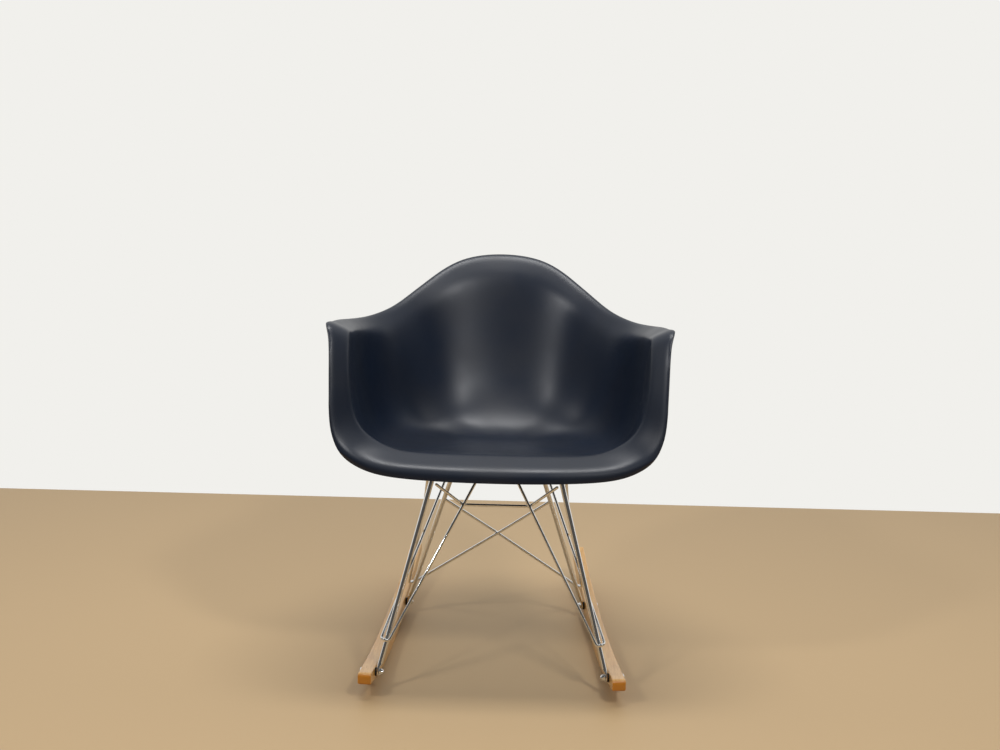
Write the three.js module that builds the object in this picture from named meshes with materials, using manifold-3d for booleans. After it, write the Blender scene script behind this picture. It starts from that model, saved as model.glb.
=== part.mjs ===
// Rocking armchair: a moulded bucket shell on a chromed rod and wire base with two maple rockers.
// Millimetres, +Z up, +Y towards the back; the origin is on the floor, under the middle of the
// overall footprint. Right is +X. The chair stands at rest on the middle facet of each rocker.

import * as THREE from "three";
import { ParametricGeometry } from "three/addons/geometries/ParametricGeometry.js";
import { mergeVertices } from "three/addons/utils/BufferGeometryUtils.js";
import Module from "manifold-3d";

const wasm = await Module();
wasm.setup();

// ---- driving dimensions -------------------------------------------------------------------

const GAP = 0.3; // clearance left where two pieces touch or are welded

const shell = {
  wall: 4.5, // moulded wall thickness
  centre: new THREE.Vector3(0, -35, 416), // lowest middle of the seat, upper face
  slices: 52, // steps round the rim
  stacks: 20, // steps from the seat centre to the rim
  bossRadius: 19, // round moulded bosses that carry the base
  pilotRadius: 3.3,
};

const rocker = {
  width: 25,
  frontY: -363,
  rearY: 362,
  contactY: -84, // where the underside touches the floor, below the centre of mass
  bottomFront: 1280, // radius of the underside ahead of the contact point
  bottomRear: 1730, // and behind it
  topRadius: 2300,
  thickness: 35, // over the contact point
  splay: 0.065, // how much x falls for each millimetre towards the back
  frontX: 231, // middle of the rocker's width at frontY
  facets: 17, // straight lengths of the underside
  holeRadius: 3.3,
};

const rod = { leg: 4.75, wire: 2.75, tab: 4 };

// Feet of the legs on the rockers, and the four mounting points under the seat (right side).
const footFront = { y: -312, z: 36 };
const footRear = { y: 99, z: 28 };
const mountFront = new THREE.Vector3(106, -207, 0);
const mountRear = new THREE.Vector3(64, -23, 0);

// ---- materials ------------------------------------------------------------------------------

const plain = (color, roughness, metalness) =>
  new THREE.MeshStandardMaterial({ color, roughness, metalness });
const finishes = {
  shell: () => plain(0x1b2230, 0.42, 0),
  maple: () => plain(0xc08a45, 0.3, 0),
  chrome: () => plain(0xd9dadb, 0.08, 1),
  steel: () => plain(0xb9bbbd, 0.3, 1),
  rubber: () => plain(0x17181a, 0.8, 0),
};

const chair = new THREE.Group();

function add(name, geometry, material) {
  const mesh = new THREE.Mesh(geometry, material);
  mesh.name = name;
  chair.add(mesh);
  return mesh;
}

// ---- solids and booleans --------------------------------------------------------------------

function toSolid(geometry) {
  const g = geometry.clone();
  g.deleteAttribute("normal");
  g.deleteAttribute("uv");
  const merged = mergeVertices(g, 1e-3);
  return new wasm.Manifold(
    new wasm.Mesh({
      numProp: 3,
      vertProperties: merged.attributes.position.array,
      triVerts: new Uint32Array(merged.index.array),
    }),
  );
}

function toGeometry(solid) {
  const mesh = solid.getMesh();
  const g = new THREE.BufferGeometry();
  g.setAttribute("position", new THREE.BufferAttribute(mesh.vertProperties, 3));
  g.setIndex(new THREE.BufferAttribute(mesh.triVerts, 1));
  g.computeVertexNormals();
  return g;
}

function union(...geometries) {
  return toGeometry(geometries.map(toSolid).reduce((a, b) => a.add(b)));
}

function cut(geometry, ...tools) {
  return toGeometry(tools.map(toSolid).reduce((a, b) => a.subtract(b), toSolid(geometry)));
}

// Moves a geometry so that its own X, Y, Z run along the given directions from a point.
function placed(geometry, origin, x, y, z) {
  const m = new THREE.Matrix4().makeBasis(x, y, z).setPosition(origin);
  return geometry.clone().applyMatrix4(m);
}

// A round bar between two points.
function bar(from, to, radius, sides = 16) {
  const along = to.clone().sub(from);
  const g = new THREE.CylinderGeometry(radius, radius, along.length(), sides);
  const turn = new THREE.Quaternion().setFromUnitVectors(
    new THREE.Vector3(0, 1, 0),
    along.clone().normalize(),
  );
  return g.applyQuaternion(turn).translate(...from.clone().add(to).multiplyScalar(0.5).toArray());
}

// ---- bent rods ------------------------------------------------------------------------------

// A path of straight lengths with every corner rounded by an arc, sampled only where it bends.
class BentPath extends THREE.Curve {
  constructor(corners, radius, perBend) {
    super();
    this.points = [corners[0].clone()];
    for (let i = 1; i < corners.length - 1; i++) {
      const before = corners[i - 1].clone().sub(corners[i]).normalize();
      const after = corners[i + 1].clone().sub(corners[i]).normalize();
      const half = before.angleTo(after) / 2;
      const centre = before
        .clone()
        .add(after)
        .normalize()
        .multiplyScalar(radius / Math.sin(half))
        .add(corners[i]);
      const start = before.clone().multiplyScalar(radius / Math.tan(half)).add(corners[i]);
      const spin = new THREE.Vector3().crossVectors(start.clone().sub(centre), after).normalize();
      for (let k = 0; k <= perBend; k++) {
        const arm = start.clone().sub(centre);
        arm.applyAxisAngle(spin, ((Math.PI - 2 * half) * k) / perBend);
        this.points.push(arm.add(centre));
      }
    }
    this.points.push(corners[corners.length - 1].clone());
  }

  get steps() {
    return this.points.length - 1;
  }

  getPoint(t) {
    return this.points[Math.round(t * this.steps)].clone();
  }

  getPointAt(t) {
    return this.getPoint(t);
  }

  getTangentAt(t) {
    const i = Math.round(t * this.steps);
    const ahead = this.points[Math.min(i + 1, this.steps)].clone().sub(this.points[i]);
    const behind = this.points[i].clone().sub(this.points[Math.max(i - 1, 0)]);
    return ahead.normalize().add(behind.normalize()).normalize();
  }
}

function wire(corners, bendRadius, radius = rod.wire, sides = 8) {
  const path = new BentPath(corners, bendRadius, 5);
  const ring = [];
  for (let i = 0; i < sides; i++) {
    const a = (2 * Math.PI * i) / sides;
    ring.push(new THREE.Vector2(radius * Math.cos(a), radius * Math.sin(a)));
  }
  const options = { steps: path.steps, extrudePath: path, bevelEnabled: false };
  return new THREE.ExtrudeGeometry(new THREE.Shape(ring), options);
}

// ---- seat shell -----------------------------------------------------------------------------

// Stations round half the rim, from the middle of the front lip to the top of the back. Each holds
// the outer edge of the flange, the inside line where the flange starts to curl, how far out the
// seat stays flat (foot), how far out (wall) and how high (rise) the wall is carried, and how far
// the wall runs on past the inside line before it curls over (curl).
const stations = [
  { edge: [0, -356, 410], brim: [0, -323, 447], foot: 0.5, wall: 0.8, rise: 0.7, curl: 38 },
  { edge: [128, -356, 414], brim: [130, -322, 448], foot: 0.52, wall: 0.8, rise: 0.68, curl: 37 },
  { edge: [228, -351, 424], brim: [204, -319, 457], foot: 0.58, wall: 0.82, rise: 0.45, curl: 33 },
  { edge: [290, -337, 462], brim: [254, -311, 499], foot: 0.66, wall: 0.87, rise: 0.25, curl: 26 },
  { edge: [304, -305, 560], brim: [270, -287, 574], foot: 0.7, wall: 0.9, rise: 0.18, curl: 20 },
  { edge: [308, -273, 648], brim: [273, -253, 636], foot: 0.71, wall: 0.91, rise: 0.16, curl: 18 },
  { edge: [315, -251, 674], brim: [273, -227, 654], foot: 0.72, wall: 0.92, rise: 0.16, curl: 17 },
  { edge: [312, -160, 666], brim: [270, -157, 650], foot: 0.72, wall: 0.92, rise: 0.16, curl: 16 },
  { edge: [296, -65, 652], brim: [258, -65, 638], foot: 0.67, wall: 0.89, rise: 0.17, curl: 17 },
  { edge: [263, 9, 649], brim: [231, 1, 630], foot: 0.57, wall: 0.83, rise: 0.19, curl: 20 },
  { edge: [219, 67, 662], brim: [196, 49, 641], foot: 0.46, wall: 0.76, rise: 0.23, curl: 23 },
  { edge: [165, 131, 699], brim: [150, 107, 675], foot: 0.38, wall: 0.7, rise: 0.26, curl: 27 },
  { edge: [92, 175, 746], brim: [84, 148, 719], foot: 0.32, wall: 0.66, rise: 0.28, curl: 30 },
  { edge: [0, 189, 760], brim: [0, 161, 733], foot: 0.3, wall: 0.65, rise: 0.28, curl: 31 },
];

const vector = (p, side = 1) => new THREE.Vector3(side * p[0], p[1], p[2]);
const closed = (pick) => {
  const right = stations.map((s) => pick(s, 1));
  const left = stations.slice(1, -1).reverse().map((s) => pick(s, -1));
  return new THREE.CatmullRomCurve3([...right, ...left], true, "centripetal");
};
const edgeLine = closed((s, side) => vector(s.edge, side));
const brimLine = closed((s, side) => vector(s.brim, side));
const shapeLine = closed((s) => new THREE.Vector3(s.foot, s.wall, s.rise));
const curlLine = closed((s) => new THREE.Vector3(s.curl, 0, 0));

// The seat pan near its middle: level side to side and falling a little towards the back.
const panHeight = (y) => shell.centre.z - 0.05 * (y - shell.centre.y);

// Seven control points from the seat centre to the flange edge at turn u round the rim.
function profile(u) {
  const edge = edgeLine.getPoint(u);
  const brim = brimLine.getPoint(u);
  const shape = shapeLine.getPoint(u);
  const flat = new THREE.Vector3(brim.x, brim.y, 0).sub(shell.centre).setZ(0);
  const at = (k) => shell.centre.clone().addScaledVector(flat, k);
  const near = at(shape.x * 0.45);
  near.z = panHeight(near.y);
  const foot = at(shape.x);
  foot.z = panHeight(foot.y) + 0.1 * shape.z * (brim.z - shell.centre.z);
  const wall = at(shape.y);
  wall.z = panHeight(foot.y) + shape.z * (brim.z - panHeight(foot.y));
  const along = brim.clone().sub(wall).normalize();
  const crest = brim.clone().addScaledVector(along, curlLine.getPoint(u).x);
  return [shell.centre, near, foot, wall, brim, crest, edge];
}

// A clamped cubic B-spline through the control polygon, at t from 0 to 1 (de Boor's scheme).
function spline(control, t) {
  const spans = control.length - 3;
  const knot = (i) => Math.min(Math.max(i - 3, 0), spans);
  const x = Math.min(t * spans, spans - 1e-9);
  const k = Math.floor(x) + 3;
  const d = [0, 1, 2, 3].map((j) => control[j + k - 3].clone());
  for (let r = 1; r <= 3; r++) {
    for (let j = 3; j >= r; j--) {
      const low = knot(j + k - 3);
      const a = (x - low) / (knot(j + 1 + k - r) - low);
      d[j].lerpVectors(d[j - 1], d[j], a);
    }
  }
  return d[3];
}

const upperFace = (u, t) => spline(profile(u), t);

// The unit normal of the upper face, found from two short steps across it.
function upperNormal(u, t) {
  if (t < 1e-6) return new THREE.Vector3(0, 0, 1);
  const e = 1e-3;
  const du = upperFace((u + e) % 1, t).sub(upperFace((u - e + 1) % 1, t));
  const dt = upperFace(u, Math.min(t + e, 1)).sub(upperFace(u, t - e));
  return dt.cross(du).normalize();
}

const lowerFace = (u, t) => upperFace(u, t).addScaledVector(upperNormal(u, t), -shell.wall);

// Height of the underside of the pan at (x, y), by walking out along the profile that passes there.
function undersideAt(x, y) {
  const goal = new THREE.Vector2(x - shell.centre.x, y - shell.centre.y);
  let best = { miss: Infinity, z: 0 };
  for (let i = 0; i < 240; i++) {
    for (let j = 1; j < 60; j++) {
      const p = upperFace(i / 240, j / 90);
      const miss = goal.distanceTo(new THREE.Vector2(p.x - shell.centre.x, p.y - shell.centre.y));
      if (miss < best.miss) best = { miss, z: p.z - shell.wall };
    }
  }
  return best.z;
}

function shellSurface() {
  const rows = 2 * shell.stacks + 1;
  const face = (u, v, target) => {
    const row = Math.round(v * rows);
    const turn = 1 - u;
    const top = row <= shell.stacks;
    const t = (top ? row : rows - row) / shell.stacks;
    target.copy((top ? upperFace : lowerFace)(turn % 1, t));
  };
  return new ParametricGeometry(face, shell.slices, rows);
}

// ---- mounting points ------------------------------------------------------------------------

const sides = [
  { tag: "right", sign: 1 },
  { tag: "left", sign: -1 },
];
const mirrored = (p, sign) => new THREE.Vector3(sign * p.x, p.y, p.z);

const pad = { radius: 16, height: 13, hole: 3.3 };
const paddle = { thick: 5, radius: 11 };

// Each mounting point knows the face of its boss; pad and leg paddle follow below it.
const mounts = [];
for (const [end, point] of [["front", mountFront], ["rear", mountRear]]) {
  const skin = undersideAt(point.x, point.y);
  const face = skin - 6;
  for (const { tag, sign } of sides) {
    mounts.push({ name: end + "_" + tag, end, sign, tag, face, skin, at: mirrored(point, sign) });
  }
}

const upright = (radius, height, x, y, z, sides = 24) =>
  new THREE.CylinderGeometry(radius, radius, height, sides)
    .rotateX(Math.PI / 2)
    .translate(x, y, z);

function seatShell() {
  const bosses = mounts.map((m) => {
    const top = m.skin + shell.wall - 1;
    return upright(shell.bossRadius, top - m.face, m.at.x, m.at.y, (top + m.face) / 2);
  });
  const pilots = mounts.map((m) =>
    upright(shell.pilotRadius, 12, m.at.x, m.at.y, m.face + 1, 16),
  );
  return cut(union(shellSurface(), ...bosses), ...pilots);
}

add("seat_shell", seatShell(), finishes.shell());

for (const m of mounts) {
  const ring = new THREE.LatheGeometry(
    [
      new THREE.Vector2(pad.hole, 0),
      new THREE.Vector2(pad.radius - 1, 0),
      new THREE.Vector2(pad.radius, 1),
      new THREE.Vector2(pad.radius, pad.height - 1),
      new THREE.Vector2(pad.radius - 1, pad.height),
      new THREE.Vector2(pad.hole, pad.height),
      new THREE.Vector2(pad.hole, 0),
    ],
    24,
  ).rotateX(Math.PI / 2);
  m.padBase = m.face - GAP - pad.height;
  ring.translate(m.at.x, m.at.y, m.padBase);
  add("shock_mount_" + m.name, ring, finishes.rubber());

  // Hexagon-headed screw from below, through the paddle and the pad into the boss.
  m.paddleTop = m.padBase - GAP;
  m.paddleMid = m.paddleTop - paddle.thick / 2;
  const headTop = m.paddleTop - paddle.thick - GAP;
  const shankTop = m.face + 4;
  const head = upright(5.8, 4, m.at.x, m.at.y, headTop - 2, 6);
  const flange = upright(7.5, 1.4, m.at.x, m.at.y, headTop - 0.7);
  const shank = upright(
    3,
    shankTop - headTop + 1,
    m.at.x,
    m.at.y,
    (shankTop + headTop - 1) / 2,
    16,
  );
  add("mount_screw_" + m.name, union(head, flange, shank), finishes.steel());
}

// ---- rockers --------------------------------------------------------------------------------

const lean = Math.atan(rocker.splay);
const rockerX = (y) => rocker.frontX - rocker.splay * (y - rocker.frontY);

// Directions of a rocker: along it to the back, up, and across it.
function rockerFrame(sign) {
  const along = new THREE.Vector3(-sign * Math.sin(lean), Math.cos(lean), 0);
  const up = new THREE.Vector3(0, 0, 1);
  return { along, up, across: new THREE.Vector3().crossVectors(along, up) };
}

// Side outline about the contact point: a faceted arc below, a flatter arc above, softened ends.
function rockerOutline() {
  const length = (y) => (y - rocker.contactY) / Math.cos(lean);
  const front = length(rocker.frontY);
  const rear = length(rocker.rearY);
  const step = (rear - front) / rocker.facets;
  const radius = (s) => (s < 0 ? rocker.bottomFront : rocker.bottomRear);
  const bottom = (s) => (s * s - (step * step) / 4) / (2 * radius(s));
  const top = (s) => rocker.thickness + (s * s) / (2 * rocker.topRadius);
  const points = [];
  points.push(new THREE.Vector2(front + 2, bottom(front) + 0.4));
  for (let s = (0.5 - rocker.facets) * step; s < rear - step / 2; s += step) {
    if (s > front + step / 2) points.push(new THREE.Vector2(s, bottom(s)));
  }
  points.push(new THREE.Vector2(rear - 2, bottom(rear) + 0.4));
  points.push(new THREE.Vector2(rear, bottom(rear) + 3));
  points.push(new THREE.Vector2(rear, top(rear) - 4));
  points.push(new THREE.Vector2(rear - 4, top(rear)));
  for (let k = 7; k >= 1; k--) {
    const s = front + ((rear - front) * k) / 8;
    points.push(new THREE.Vector2(s, top(s)));
  }
  points.push(new THREE.Vector2(front + 4, top(front)));
  points.push(new THREE.Vector2(front, top(front) - 4));
  points.push(new THREE.Vector2(front, bottom(front) + 3));
  return new THREE.Shape(points);
}

// Feet of the legs: the point on the inner face of the rocker that each bolt passes through.
const feet = [];
for (const { tag, sign } of sides) {
  const frame = rockerFrame(sign);
  const inward = frame.across.clone().multiplyScalar(-sign);
  const contact = new THREE.Vector3(sign * rockerX(rocker.contactY), rocker.contactY, 0);
  const body = new THREE.ExtrudeGeometry(rockerOutline(), {
    depth: rocker.width,
    bevelEnabled: false,
  }).translate(0, 0, -rocker.width / 2);
  const holes = [];
  for (const [end, foot] of [["front", footFront], ["rear", footRear]]) {
    const middle = new THREE.Vector3(sign * rockerX(foot.y), foot.y, foot.z);
    const from = middle.clone().addScaledVector(inward, -rocker.width);
    const to = middle.clone().addScaledVector(inward, rocker.width);
    holes.push(bar(from, to, rocker.holeRadius));
    feet.push({ name: end + "_" + tag, end, sign, tag, inward, middle });
  }
  const solid = placed(body, contact, frame.along, frame.up, frame.across);
  add("rocker_" + tag, cut(solid, ...holes), finishes.maple());
}

// ---- legs -----------------------------------------------------------------------------------

const washer = { radius: 8, thick: 2.4 };

for (const foot of feet) {
  const mount = mounts.find((m) => m.name === foot.name);
  const face = rocker.width / 2 + GAP;
  const out = (d) => foot.middle.clone().addScaledVector(foot.inward, d);

  // Spacer between rocker and leg, the flattened leg end, then the domed nut.
  const tabIn = face + washer.thick + GAP;
  const spacer = new THREE.LatheGeometry(
    [
      new THREE.Vector2(rocker.holeRadius, 0),
      new THREE.Vector2(washer.radius, 0),
      new THREE.Vector2(washer.radius, washer.thick),
      new THREE.Vector2(rocker.holeRadius, washer.thick),
      new THREE.Vector2(rocker.holeRadius, 0),
    ],
    20,
  );
  const turn = new THREE.Quaternion().setFromUnitVectors(
    new THREE.Vector3(0, 1, 0),
    foot.inward,
  );
  spacer.applyQuaternion(turn).translate(...out(face).toArray());
  add("spacer_" + foot.name, spacer, finishes.rubber());

  // Leg: flattened and drilled below, straight rod, then a level paddle under the mount.
  const tabMid = out(tabIn + rod.tab / 2);
  const back = foot.end === "front" ? 1 : -1;
  const knee = new THREE.Vector3(
    mount.at.x + foot.sign * 9,
    mount.at.y - back * 17,
    mount.paddleMid,
  );
  const rise = knee.clone().sub(tabMid).normalize();
  const ankle = tabMid.clone().addScaledVector(rise, 17);
  const tabFlat = new THREE.Vector3().crossVectors(foot.inward, rise).normalize();
  const tabUp = new THREE.Vector3().crossVectors(tabFlat, foot.inward).normalize();
  const tabShape = new THREE.Shape();
  tabShape.absarc(0, 0, 8, Math.PI, 2 * Math.PI, false);
  tabShape.lineTo(5, 22);
  tabShape.lineTo(-5, 22);
  tabShape.closePath();
  const tab = new THREE.ExtrudeGeometry(tabShape, {
    depth: rod.tab,
    bevelEnabled: false,
    curveSegments: 10,
  }).translate(0, 0, -rod.tab / 2);
  const tabPlaced = placed(
    tab,
    tabMid,
    tabFlat,
    tabUp,
    new THREE.Vector3().crossVectors(tabFlat, tabUp),
  );
  const plate = new THREE.Shape();
  plate.absarc(0, 0, paddle.radius, 0, Math.PI, false);
  plate.lineTo(-6, -20);
  plate.lineTo(6, -20);
  plate.closePath();
  const reach = new THREE.Vector3(mount.at.x - knee.x, mount.at.y - knee.y, 0).normalize();
  const side = new THREE.Vector3(reach.y, -reach.x, 0);
  const top = placed(
    new THREE.ExtrudeGeometry(plate, {
      depth: paddle.thick,
      bevelEnabled: false,
      curveSegments: 12,
    }).translate(0, 0, -paddle.thick / 2),
    new THREE.Vector3(mount.at.x, mount.at.y, mount.paddleMid),
    side,
    reach,
    new THREE.Vector3(0, 0, 1),
  );
  const shin = bar(ankle, knee, rod.leg, 14);
  const cap = new THREE.SphereGeometry(rod.leg, 14, 8).translate(...knee.toArray());
  const bore = bar(out(tabIn - 4), out(tabIn + rod.tab + 4), rocker.holeRadius);
  const drill = upright(pad.hole, 20, mount.at.x, mount.at.y, mount.paddleMid, 16);
  const leg = cut(union(tabPlaced, shin, cap, top), bore, drill);
  add("leg_" + foot.name, leg, finishes.chrome());
  foot.rise = rise;
  foot.ankle = ankle;
  foot.knee = knee;

  // Through bolt with a low round head outside the rocker.
  const tabOut = tabIn + rod.tab;
  const boltHead = new THREE.LatheGeometry(
    [
      new THREE.Vector2(0, 0),
      new THREE.Vector2(7.5, 0),
      new THREE.Vector2(7, 1.4),
      new THREE.Vector2(4.5, 3),
      new THREE.Vector2(0, 3.6),
    ],
    20,
  ).applyQuaternion(
    new THREE.Quaternion().setFromUnitVectors(
      new THREE.Vector3(0, 1, 0),
      foot.inward.clone().negate(),
    ),
  );
  boltHead.translate(...out(-face).toArray());
  const shank = bar(out(-face - 1), out(tabOut + 3), 3, 14);
  add("rocker_bolt_" + foot.name, union(boltHead, shank), finishes.chrome());

  // Domed nut: closed round cap with a blind bore for the bolt end.
  const nut = new THREE.LatheGeometry(
    [
      new THREE.Vector2(3 + GAP, 0),
      new THREE.Vector2(6.6, 0),
      new THREE.Vector2(7, 1.5),
      new THREE.Vector2(6.6, 4.6),
      new THREE.Vector2(5, 7.2),
      new THREE.Vector2(2.6, 8.6),
      new THREE.Vector2(0, 9),
      new THREE.Vector2(0, 4.2),
      new THREE.Vector2(3 + GAP, 4.2),
      new THREE.Vector2(3 + GAP, 0),
    ],
    20,
  );
  nut.applyQuaternion(turn).translate(...out(tabOut + GAP).toArray());
  add("domed_nut_" + foot.name, nut, finishes.chrome());
}

const footOf = (end, tag) => feet.find((f) => f.name === end + "_" + tag);

// A point on a leg's axis at height z.
function onLeg(foot, z) {
  const k = (z - foot.ankle.z) / foot.rise.z;
  return foot.ankle.clone().addScaledVector(foot.rise, k);
}

const V = (x, y, z) => new THREE.Vector3(x, y, z);

// ---- wires ----------------------------------------------------------------------------------

const clear = rod.leg + rod.wire + GAP; // wire axis to leg axis where they touch

// Front truss: one wire from behind the right rear knee, down outside the right front leg, round
// its front, up to the middle under the seat, across, and back the same way on the left.
const hug = onLeg(footOf("front", "right"), 99);
const rearKnee = footOf("rear", "right").knee;
const halfTruss = [
  V(rearKnee.x + clear + 2.5, rearKnee.y + 2, rearKnee.z - 9),
  V(hug.x + clear + 4.5, hug.y - 2, hug.z - 3),
  V(hug.x - 2.5, hug.y - clear - 5.5, hug.z - 4),
  V(31, -179, 384),
];
const trussLeft = halfTruss.map((p) => mirrored(p, -1)).reverse();
add("front_truss_wire", wire([...halfTruss, ...trussLeft], 6), finishes.chrome());

// Front stretcher: drops from the top of each front leg to the truss, and runs level between.
const strand = (x) => {
  const a = halfTruss[2];
  const b = halfTruss[3];
  return a.clone().lerp(b, (x - a.x) / (b.x - a.x));
};
const dip = strand(63).add(V(0, 2 * rod.wire + 1.8, 0));
const frontKnee = footOf("front", "right").knee;
const tie = onLeg(footOf("front", "right"), 374);
const halfStretcher = [V(tie.x - clear - 0.6, tie.y + 1.5, tie.z), dip];
const stretcherLeft = halfStretcher.map((p) => mirrored(p, -1)).reverse();
add("front_stretcher_wire", wire([...halfStretcher, ...stretcherLeft], 8), finishes.chrome());

// Rear braces: from a hook over the front knee, back and down outside the rear leg, round behind
// it, then across to the top of the other rear leg. The two cross in the middle, one in front.
for (const { tag, sign } of sides) {
  const low = onLeg(footOf("rear", "right"), 77);
  const high = onLeg(footOf("rear", "right"), 272);
  const start = V(low.x - 1, low.y + clear + 6, low.z - 3);
  const finish = V(1 - high.x, high.y + clear + 0.6, high.z);
  const middle = start.clone().lerp(finish, start.x / (start.x - finish.x));
  const run = V(0, finish.y - start.y, finish.z - start.z).normalize();
  middle.addScaledVector(V(0, run.z, -run.y), sign * (rod.wire + GAP / 2));
  const path = [
    V(frontKnee.x, frontKnee.y + 11, frontKnee.z - 9),
    V(frontKnee.x + 13, frontKnee.y + 4, frontKnee.z - 9),
    V(134, -214, 331),
    V(low.x + clear + 5, low.y + 3, low.z - 3),
    start,
    middle,
    finish,
  ].map((p) => mirrored(p, sign));
  add("rear_brace_wire_" + tag, wire(path, 5), finishes.chrome());
}

export default chair;
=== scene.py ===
"""Looks of a rocking armchair: moulded bucket shell, chromed rod and wire base, maple rockers.

Metres, +Z up, +Y towards the back of the chair, +X to the right of someone who faces it. Places
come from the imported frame; shapes come from the sizes held by each class.
"""

import logging
import math
from collections.abc import Callable, Iterable, Sequence
from dataclasses import dataclass, field
from enum import Enum

import bmesh
import bpy
from mathutils import Matrix, Vector


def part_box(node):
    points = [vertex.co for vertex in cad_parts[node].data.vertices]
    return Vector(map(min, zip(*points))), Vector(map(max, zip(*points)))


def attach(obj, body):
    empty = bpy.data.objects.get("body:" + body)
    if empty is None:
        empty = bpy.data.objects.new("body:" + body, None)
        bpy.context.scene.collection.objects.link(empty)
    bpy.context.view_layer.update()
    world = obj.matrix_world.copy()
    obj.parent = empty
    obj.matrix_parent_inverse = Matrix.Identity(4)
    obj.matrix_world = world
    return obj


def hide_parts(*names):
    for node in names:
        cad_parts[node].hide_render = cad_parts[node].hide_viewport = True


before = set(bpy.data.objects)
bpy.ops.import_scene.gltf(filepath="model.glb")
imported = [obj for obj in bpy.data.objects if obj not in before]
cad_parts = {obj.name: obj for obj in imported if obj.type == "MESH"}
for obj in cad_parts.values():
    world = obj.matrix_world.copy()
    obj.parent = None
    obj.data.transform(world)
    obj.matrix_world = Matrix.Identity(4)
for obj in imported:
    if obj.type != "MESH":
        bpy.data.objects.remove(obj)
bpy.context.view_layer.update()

LOG = logging.getLogger("rocking_armchair")
GAP = 0.0003  # clearance between two touching pieces
ROCKER_WIDTH = 0.025
SPACER = 0.0024  # thickness of the rubber washer between rocker and leg
TAB = 0.004  # thickness of a leg's flat lower end
HEXAGON_ROUND = 0.0005  # rounding of the edges of nuts and screw heads
FLAT = 5.0  # squareness of the cross-section of a rod that is pressed flat
TIP_STEPS = (0.3, 0.55, 0.74, 0.88, 0.96, 0.999)  # sections along the half-round tip of a flat


class Side(Enum):
    """The two sides of the chair, with the sign of X on each."""

    RIGHT = 1
    LEFT = -1


class End(Enum):
    """The two ends of a rocker, with the direction along Y from the foot to the seat."""

    FRONT = 1
    REAR = -1


class Slot(Enum):
    """Material slots of the record."""

    SHELL = "shell_plastic"
    MAPLE = "maple"
    CHROME = "chrome"
    ZINC = "zinc_steel"
    RUBBER = "black_rubber"


# ---- node and colour helpers ------------------------------------------------------------------


def linear(hex_colour: str) -> tuple[float, float, float, float]:
    """Turns an sRGB hex colour into linear RGBA.

    Args:
        hex_colour: six hex digits, such as "1b2230".

    Returns:
        The colour as four linear numbers.
    """

    def channel(start: int) -> float:
        """One channel as a linear number."""
        value = int(hex_colour[start : start + 2], 16) / 255
        return value / 12.92 if value <= 0.04045 else ((value + 0.055) / 1.055) ** 2.4

    return (channel(0), channel(2), channel(4), 1.0)


def per_metre(millimetres: float) -> float:
    """Texture scale that gives features of this many millimetres."""
    return 1000.0 / millimetres


def add_node(
    tree: bpy.types.NodeTree,
    kind: str,
    settings: dict[str, object] | None = None,
    inputs: dict[str | int, object] | None = None,
) -> bpy.types.Node:
    """Adds a node, sets its properties, and sets or links its inputs.

    Args:
        tree: the node tree that gets the node.
        kind: Blender's name for the node type.
        settings: properties of the node itself.
        inputs: a value, or an output socket to link, for each input by name or number.

    Returns:
        The new node.
    """
    node = tree.nodes.new(kind)
    for key, value in (settings or {}).items():
        setattr(node, key, value)
    for key, value in (inputs or {}).items():
        if isinstance(value, bpy.types.NodeSocket):
            tree.links.new(value, node.inputs[key])
        else:
            node.inputs[key].default_value = value
    return node


def ramp(
    tree: bpy.types.NodeTree,
    factor: bpy.types.NodeSocket,
    stops: Sequence[tuple[float, tuple[float, float, float, float]]],
) -> bpy.types.NodeSocket:
    """Adds a colour ramp and returns its colour output.

    Args:
        tree: the node tree that gets the ramp.
        factor: what drives it.
        stops: position and colour of each stop, in order.

    Returns:
        The colour output.
    """
    node = add_node(tree, "ShaderNodeValToRGB", inputs={"Fac": factor})
    elements = node.color_ramp.elements
    for place, colour in stops[1:-1]:
        elements.new(place).color = colour
    elements[0].position, elements[0].color = stops[0]
    elements[-1].position, elements[-1].color = stops[-1]
    return node.outputs["Color"]


def grey(value: float) -> tuple[float, float, float, float]:
    """A neutral colour of this value."""
    return (value, value, value, 1.0)


def noise(
    tree: bpy.types.NodeTree,
    place: bpy.types.NodeSocket,
    scale: float,
    detail: float = 2.0,
    **more: float,
) -> bpy.types.NodeSocket:
    """Adds a noise texture and returns its value.

    Args:
        tree: the node tree that gets it.
        place: the coordinates it reads.
        scale: cycles for each unit of the coordinates.
        detail: how many finer layers it has.
        more: other inputs by name.

    Returns:
        The value output.
    """
    inputs = {"Vector": place, "Scale": scale, "Detail": detail, **more}
    return add_node(tree, "ShaderNodeTexNoise", inputs=inputs).outputs["Fac"]


def blend(
    tree: bpy.types.NodeTree,
    share: bpy.types.NodeSocket,
    first: bpy.types.NodeSocket,
    second: tuple[float, float, float, float],
) -> bpy.types.NodeSocket:
    """Adds a colour mix and returns its result.

    Args:
        tree: the node tree that gets it.
        share: how much of the second colour shows.
        first: the colour below.
        second: the colour laid over it.

    Returns:
        The colour output.
    """
    inputs = {0: share, 6: first, 7: second}
    return add_node(tree, "ShaderNodeMix", {"data_type": "RGBA"}, inputs).outputs[2]


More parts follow.
